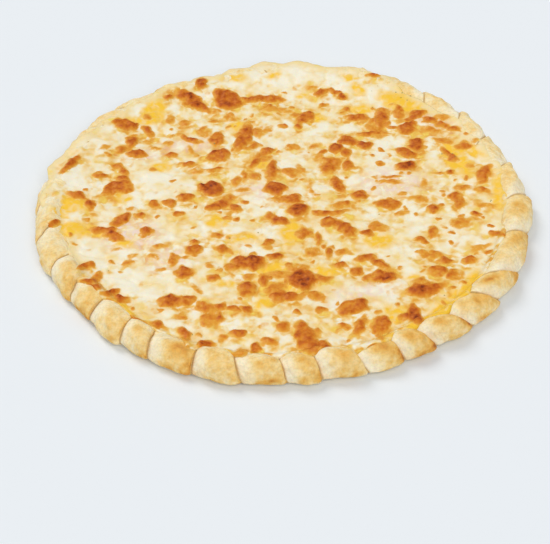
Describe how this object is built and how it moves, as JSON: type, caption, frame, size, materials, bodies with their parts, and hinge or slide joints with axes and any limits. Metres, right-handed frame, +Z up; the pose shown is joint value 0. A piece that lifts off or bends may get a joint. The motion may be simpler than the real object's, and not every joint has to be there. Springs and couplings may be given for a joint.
{
  "type": "margherita pizza",
  "caption": "Whole round flat pizza with a rope-crimped crust rim and a sheet of melted, browned cheese that climbs the rim at the back.",
  "frame": {"origin": "centre of the pizza on the surface it rests on, under the middle of its box", "axes": "+Z up through the pizza's thickness; +Y towards the side where the cheese climbs over the rim; +X to the right seen from -Y"},
  "size_m": [0.3034, 0.299, 0.015],
  "materials": {
    "baked_dough": "baked wheat dough, dry, cream with a golden blush on the folds",
    "melted_cheese": "melted cheese, softly glossy, white with yellow patches and browned blisters"
  },
  "bodies": {
    "root": {"crust": "baked_dough", "cheese": "melted_cheese"}
  },
  "joints": []
}
